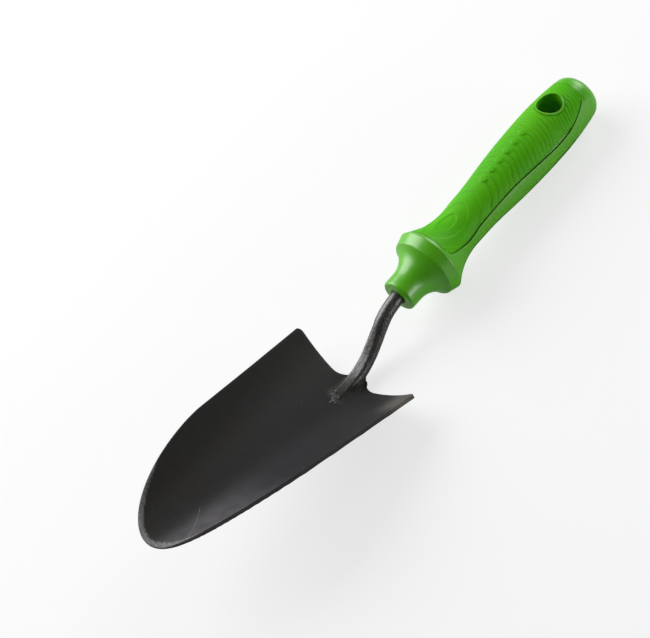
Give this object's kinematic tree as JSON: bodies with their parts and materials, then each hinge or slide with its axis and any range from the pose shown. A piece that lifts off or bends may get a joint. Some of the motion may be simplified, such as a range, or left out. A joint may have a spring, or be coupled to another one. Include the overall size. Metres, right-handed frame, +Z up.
{
  "type": "hand trowel",
  "caption": "Hand trowel with a hollowed pointed steel blade, a cranked steel shank and a soft-inlaid moulded handle with a hanging hole.",
  "frame": {"origin": "middle of the bounding box's base: the bench plane that the blade's heel and the back of the handle rest on", "axes": "+X along the trowel towards the blade tip, +Y across it to the left as seen from the handle, +Z up out of the blade's hollow side"},
  "size_m": [0.3048, 0.074, 0.0498],
  "materials": {
    "blade_coat": "satin textured powder coat on steel",
    "shank_coat": "coarse textured powder coat on steel",
    "hard_green": "semi-gloss moulded polypropylene",
    "soft_green": "satin thermoplastic rubber with stepped relief"
  },
  "bodies": {
    "root": {"blade": "blade_coat", "shank": "shank_coat", "weld_bead_left": "shank_coat", "weld_bead_right": "shank_coat", "weld_bead_toe": "shank_coat", "weld_bead_heel": "shank_coat", "handle_body": "hard_green", "grip_inlay_top": "soft_green", "grip_inlay_bottom": "soft_green"}
  },
  "joints": []
}
